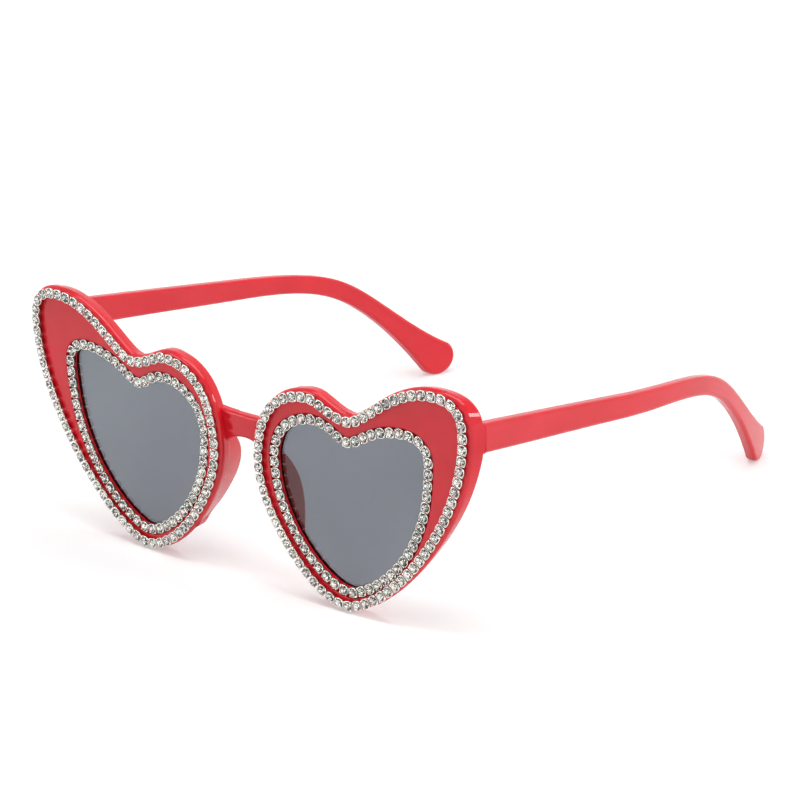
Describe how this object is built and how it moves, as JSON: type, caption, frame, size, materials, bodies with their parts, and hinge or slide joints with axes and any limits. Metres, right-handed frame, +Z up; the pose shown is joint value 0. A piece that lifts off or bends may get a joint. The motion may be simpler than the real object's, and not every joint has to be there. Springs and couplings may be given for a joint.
{
  "type": "sunglasses",
  "caption": "Heart shaped sunglasses: red moulded front with tinted lenses, rows of rhinestones in metal cups round each lens, and folding temples on screw hinges.",
  "frame": {"origin": "on the floor that the heart tips and the temple tips stand on, at the middle of the open glasses' box", "axes": "+Z up, +Y from the front towards the ears, +X towards the wearer's left"},
  "size_m": [0.1422, 0.1422, 0.0615],
  "materials": {
    "red_plastic": "polished",
    "smoke_lens": "polished, tinted, see-through",
    "crystal": "faceted, clear",
    "cup_metal": "plated, bright",
    "hinge_steel": "plain"
  },
  "bodies": {
    "front": {"front_frame": "red_plastic", "left_lens": "smoke_lens", "left_front_hinge_leaf": "hinge_steel", "left_hinge_screw": "hinge_steel", "right_lens": "smoke_lens", "right_front_hinge_leaf": "hinge_steel", "right_hinge_screw": "hinge_steel", "left_outer_stones": "crystal", "left_outer_cups": "cup_metal", "left_outer_links": "cup_metal", "left_inner_stones": "crystal", "left_inner_cups": "cup_metal", "left_inner_links": "cup_metal", "right_outer_stones": "crystal", "right_outer_cups": "cup_metal", "right_outer_links": "cup_metal", "right_inner_stones": "crystal", "right_inner_cups": "cup_metal", "right_inner_links": "cup_metal"},
    "left_arm": {"left_temple": "red_plastic", "left_temple_hinge_leaf": "hinge_steel"},
    "right_arm": {"right_temple": "red_plastic", "right_temple_hinge_leaf": "hinge_steel"}
  },
  "joints": [
    {"name": "left_temple_fold", "type": "hinge", "parent": "front", "child": "left_arm", "pos_m": [0.06724, -0.06258, 0.05], "axis": [0, 0, 1], "range_deg": [0, 83]},
    {"name": "right_temple_fold", "type": "hinge", "parent": "front", "child": "right_arm", "pos_m": [-0.06724, -0.06258, 0.05], "axis": [0, 0, -1], "range_deg": [0, 77]}
  ]
}
